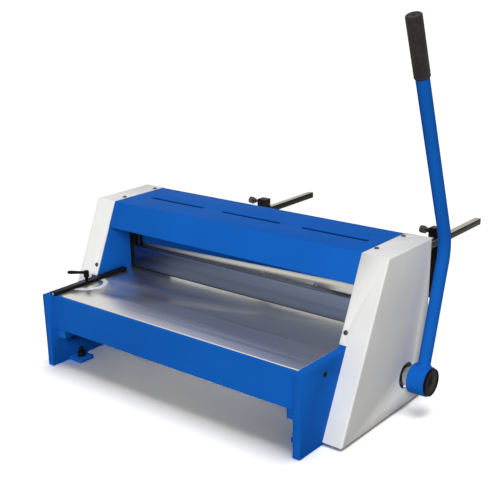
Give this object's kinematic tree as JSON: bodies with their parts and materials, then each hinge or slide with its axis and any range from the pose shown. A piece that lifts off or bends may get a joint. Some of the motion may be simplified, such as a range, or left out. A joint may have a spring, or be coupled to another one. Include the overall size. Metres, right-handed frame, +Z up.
{
  "type": "bench lever shear",
  "caption": "Bench-top sheet metal guillotine: blade beam between two side plates, lowered by eccentrics from a long hand lever, with side stop and back gauge.",
  "frame": {"origin": "at bench level, midway between the centres of the two rear foot holes", "axes": "+X towards the side with the hand lever, +Y towards the back gauge, away from the person working, +Z up"},
  "size_m": [0.8346, 0.883, 0.7655],
  "materials": {
    "blue_paint": "semi-gloss blue enamel",
    "white_paint": "satin white powder coat",
    "ground_steel": "surface ground steel",
    "blade_steel": "hardened and ground tool steel",
    "grey_steel": "machined steel, oiled",
    "black_oxide": "black oxide on steel",
    "bright_steel": "turned steel, zinc plated",
    "spring_steel": "oiled spring steel",
    "bronze": "machined bearing bronze",
    "black_plastic": "moulded black plastic",
    "black_rubber": "moulded black rubber",
    "scale_enamel": "white enamel on sheet steel"
  },
  "bodies": {
    "base": {"side_plate_left": "blue_paint", "side_plate_right": "blue_paint", "front_apron": "blue_paint", "table_plate": "ground_steel", "blade_carrier": "grey_steel", "lower_blade": "blade_steel", "lower_blade_screws": "bright_steel", "apron_brackets": "blue_paint", "leg_screws": "black_oxide", "front_foot_tabs": "blue_paint", "rear_foot_tabs": "blue_paint", "levelling_studs": "black_oxide", "levelling_washers": "black_oxide", "levelling_nuts": "black_oxide", "rear_cross_bar": "grey_steel", "shaft_bushes": "bronze", "guide_strips": "black_oxide", "window_gibs": "bronze", "top_hood": "blue_paint", "hood_rails": "grey_steel", "side_cover_left": "white_paint", "side_cover_right": "white_paint", "cover_screws": "black_oxide", "angle_scale": "scale_enamel", "stop_stud": "black_oxide"},
    "lever": {"main_shaft": "bright_steel", "eccentric_left": "grey_steel", "eccentric_right": "grey_steel", "shaft_keys": "bright_steel", "lever_hub": "blue_paint", "hub_cap": "black_plastic", "lever_tube": "blue_paint", "lever_grip": "black_rubber"},
    "blade_beam": {"upper_beam": "blue_paint", "upper_blade": "blade_steel", "upper_blade_screws": "bright_steel", "end_block_left": "grey_steel", "end_block_right": "grey_steel", "end_block_bolts": "black_oxide", "wrist_pins": "bright_steel", "wrist_clips": "bright_steel", "gauge_bar_left": "black_oxide", "gauge_bar_right": "black_oxide", "hold_down_springs": "spring_steel"},
    "hold_down": {"hold_down_bar": "grey_steel", "hold_down_pins": "black_oxide"},
    "rod_left": {"connecting_rod_left": "grey_steel"},
    "rod_right": {"connecting_rod_right": "grey_steel"},
    "back_gauge": {"gauge_clamp_left": "black_oxide", "gauge_clamp_right": "black_oxide", "gauge_arm_left": "black_oxide", "gauge_arm_right": "black_oxide", "back_stop": "black_oxide"},
    "knob_left": {"clamp_knob_left": "black_plastic"},
    "knob_right": {"clamp_knob_right": "black_plastic"},
    "side_stop": {"side_stop": "black_oxide", "stop_end_screw": "bright_steel"},
    "clamp_lever": {"clamp_lever": "black_plastic"}
  },
  "joints": [
    {"name": "lever_hinge", "type": "hinge", "parent": "base", "child": "lever", "pos_m": [0, -0.005, 0.069], "axis": [1, 0, 0], "range_deg": [0, 75]},
    {"name": "beam_slide", "type": "slide", "parent": "base", "child": "blade_beam", "axis": [0, 0, -1], "range_m": [0, 0.02606], "deforming": ["hold_down_springs"]},
    {"name": "hold_down_slide", "type": "slide", "parent": "base", "child": "hold_down", "axis": [0, 0, -1], "range_m": [0, 0.0048]},
    {"name": "rod_left_hinge", "type": "hinge", "parent": "lever", "child": "rod_left", "pos_m": [-0.359, -0.02198, 0.08203], "axis": [1, 0, 0], "range_deg": [-75.01, 0]},
    {"name": "rod_right_hinge", "type": "hinge", "parent": "lever", "child": "rod_right", "pos_m": [0.359, -0.02198, 0.08203], "axis": [1, 0, 0], "range_deg": [-75.01, 0]},
    {"name": "back_gauge_slide", "type": "slide", "parent": "blade_beam", "child": "back_gauge", "axis": [0, 1, 0], "range_m": [-0.335, 0.19]},
    {"name": "knob_left_hinge", "type": "hinge", "parent": "back_gauge", "child": "knob_left", "pos_m": [-0.2945, 0.372, 0.2443], "axis": [1, 0, 0], "range_deg": [0, 270]},
    {"name": "knob_right_hinge", "type": "hinge", "parent": "back_gauge", "child": "knob_right", "pos_m": [0.2125, 0.372, 0.25], "axis": [1, 0, 0], "range_deg": [0, 270]},
    {"name": "side_stop_hinge", "type": "hinge", "parent": "base", "child": "side_stop", "pos_m": [-0.321, -0.1985, 0.172], "axis": [0, 0, -1], "range_deg": [0, 45]},
    {"name": "clamp_lever_hinge", "type": "hinge", "parent": "base", "child": "clamp_lever", "pos_m": [-0.321, -0.1985, 0.19], "axis": [0, 0, 1], "range_deg": [-60, 60]}
  ],
  "couplings": [
    {"joint": "beam_slide", "follows": "lever_hinge", "m_per_rad": 0.019905},
    {"joint": "hold_down_slide", "follows": "lever_hinge", "m_per_rad": 0.0036669},
    {"joint": "rod_left_hinge", "follows": "lever_hinge", "ratio": -1},
    {"joint": "rod_right_hinge", "follows": "lever_hinge", "ratio": -1}
  ]
}
